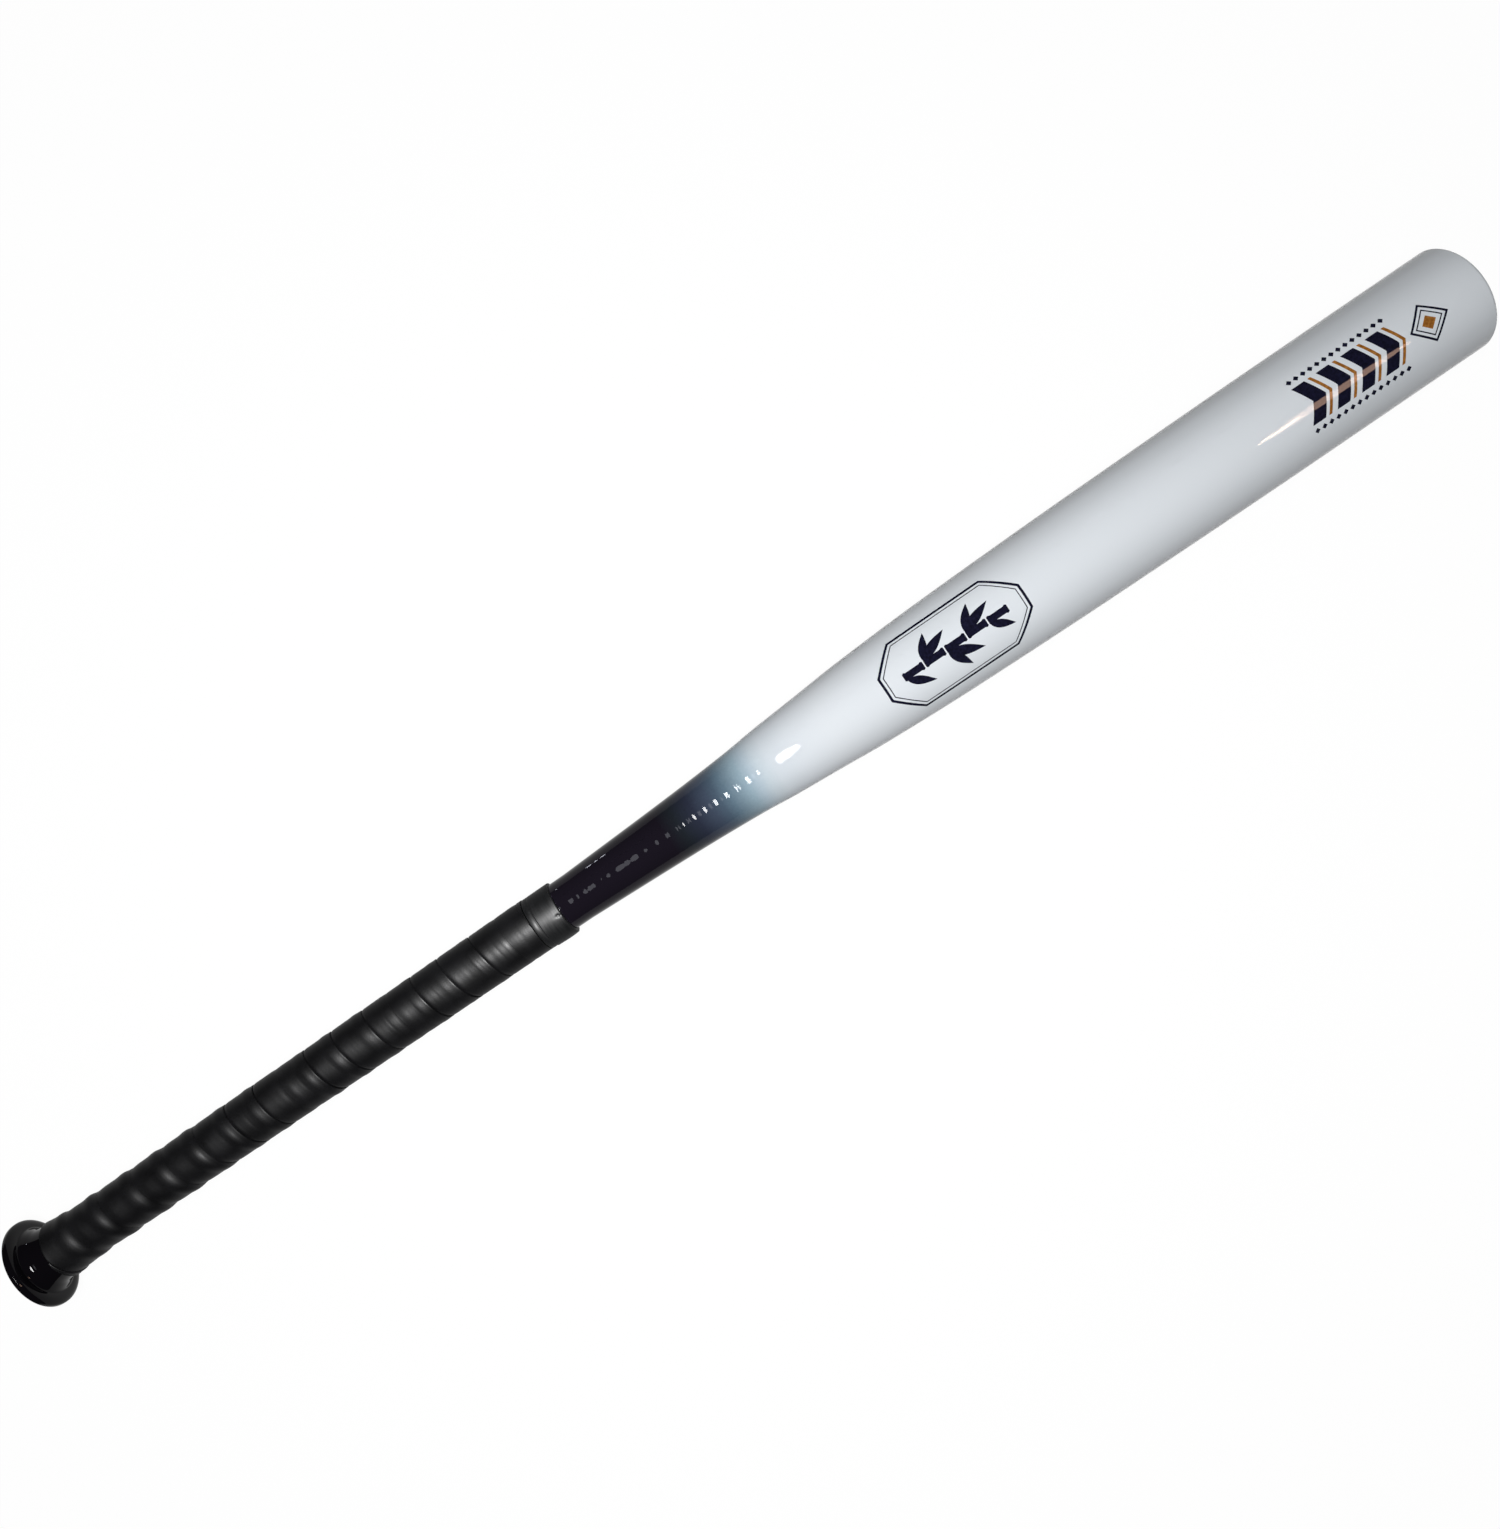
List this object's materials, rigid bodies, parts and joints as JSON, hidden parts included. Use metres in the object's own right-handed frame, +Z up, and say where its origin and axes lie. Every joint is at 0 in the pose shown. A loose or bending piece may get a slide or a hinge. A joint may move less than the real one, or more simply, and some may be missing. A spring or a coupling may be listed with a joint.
{
  "type": "bamboo softball bat",
  "caption": "Turned, laminated bamboo softball bat with a round knob, a spirally wound black grip, a black tapered handle and a white barrel with a rounded end.",
  "frame": {"origin": "centre of the flat on the knob's butt, on the bat's axis", "axes": "+X along the bat from the knob to the barrel end, +Z up, out of the decorated side of the barrel when the bat lies on its side"},
  "size_m": [0.8636, 0.0572, 0.0572],
  "materials": {
    "bamboo": "laminated bamboo boards under lacquer",
    "black_lacquer": "glossy black lacquer",
    "white_lacquer": "glossy white lacquer, fading to black at the handle",
    "grip_leather": "satin black grip leather",
    "finishing_tape": "satin black tape"
  },
  "bodies": {
    "root": {"handle_lacquer": "black_lacquer", "barrel_lacquer": "white_lacquer", "grip_wrap": "grip_leather", "finishing_band": "finishing_tape", "lower_left_board_1": "bamboo", "lower_left_board_2": "bamboo", "lower_left_board_3_knob": "bamboo", "lower_left_board_3_barrel": "bamboo", "lower_left_board_4_barrel": "bamboo", "upper_left_board_1": "bamboo", "upper_left_board_2": "bamboo", "upper_left_board_3_knob": "bamboo", "upper_left_board_3_barrel": "bamboo", "upper_left_board_4_barrel": "bamboo", "upper_right_board_1": "bamboo", "upper_right_board_2": "bamboo", "upper_right_board_3_knob": "bamboo", "upper_right_board_3_barrel": "bamboo", "upper_right_board_4_barrel": "bamboo", "lower_right_board_1": "bamboo", "lower_right_board_2": "bamboo", "lower_right_board_3_knob": "bamboo", "lower_right_board_3_barrel": "bamboo", "lower_right_board_4_barrel": "bamboo"}
  },
  "joints": []
}
